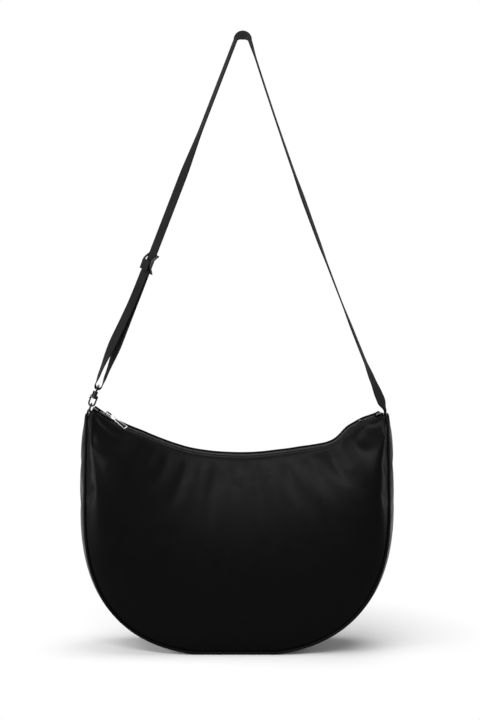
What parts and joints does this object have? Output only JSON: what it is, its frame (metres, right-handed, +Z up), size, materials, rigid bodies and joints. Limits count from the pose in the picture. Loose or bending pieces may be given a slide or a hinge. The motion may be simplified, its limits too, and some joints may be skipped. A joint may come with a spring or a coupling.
{
  "type": "half moon shoulder bag",
  "caption": "Black half moon shoulder bag with a dipped zipped mouth, rounded gusset, and an adjustable webbing strap clipped to a ring by a swivel snap hook.",
  "frame": {"origin": "on the floor, under the middle of the bag and strap's box", "axes": "+Z up, the front panel faces -Y, +X to the right as seen from the front, where the strap is sewn in"},
  "size_m": [0.393, 0.1172, 0.7731],
  "materials": {
    "shell": "matte coated",
    "piping": "matte coated",
    "zip_tape": "woven",
    "zip_coil": "matte",
    "zip_metal": "satin black",
    "hardware": "satin dark grey",
    "spring_steel": "bright",
    "webbing": "woven",
    "thread": "stitched",
    "lining": "matte"
  },
  "bodies": {
    "bag": {"front_panel": "shell", "back_panel": "shell", "gusset": "shell", "front_piping": "piping", "back_piping": "piping", "front_zip_tape": "zip_tape", "back_zip_tape": "zip_tape", "front_zip_coil": "zip_coil", "back_zip_coil": "zip_coil", "zip_stops": "zip_metal", "left_zip_end_tab": "shell", "right_zip_end_tab": "shell", "ring_tab": "webbing", "strap_tail": "webbing", "corner_bar_tacks": "thread", "lining": "lining", "inner_pocket": "lining"},
    "slider": {"zip_slider": "zip_metal"},
    "puller": {"zip_puller": "zip_metal"},
    "ring": {"d_ring": "hardware"},
    "strap": {"swivel_eye": "hardware", "strap_webbing": "webbing", "loop_strand": "webbing"},
    "hook": {"hook_body": "hardware", "gate_pin": "hardware"},
    "gate": {"hook_gate": "hardware", "gate_spring": "spring_steel"},
    "adjuster": {"adjuster_frame": "hardware", "strap_stub": "webbing", "stub_bar_tack": "thread"}
  },
  "joints": [
    {"name": "zip_travel", "type": "hinge", "parent": "bag", "child": "slider", "pos_m": [0, 0, 0.54101], "axis": [0, -1, 0], "range_deg": [0, 63]},
    {"name": "puller_flip", "type": "hinge", "parent": "slider", "child": "puller", "pos_m": [-0.16142, -0.00099, 0.29587], "axis": [-0.4888, -0.8169, -0.306], "range_deg": [0, 120]},
    {"name": "ring_pivot", "type": "hinge", "parent": "bag", "child": "ring", "pos_m": [-0.18562, 0, 0.29946], "axis": [0, 1, 0], "range_deg": [-2, 2]},
    {"name": "strap_swing", "type": "hinge", "parent": "bag", "child": "strap", "pos_m": [-0.18521, 0, 0.30059], "axis": [1, 0, 0], "range_deg": [-36, 36]},
    {"name": "hook_swivel", "type": "hinge", "parent": "strap", "child": "hook", "pos_m": [-0.18182, 0, 0.30984], "axis": [0.3625, 0, 0.932], "range_deg": [-10, 10]},
    {"name": "gate_open", "type": "hinge", "parent": "hook", "child": "gate", "pos_m": [-0.18237, 0, 0.3189], "axis": [0, -1, 0], "range_deg": [0, 26], "stiffness_Nm_per_rad": 0.002, "springref_deg": -20.05},
    {"name": "adjuster_slide", "type": "slide", "parent": "strap", "child": "adjuster", "axis": [0.3625, 0, 0.932], "range_m": [-0.085, 0.095], "deforming": ["loop_strand"]}
  ]
}
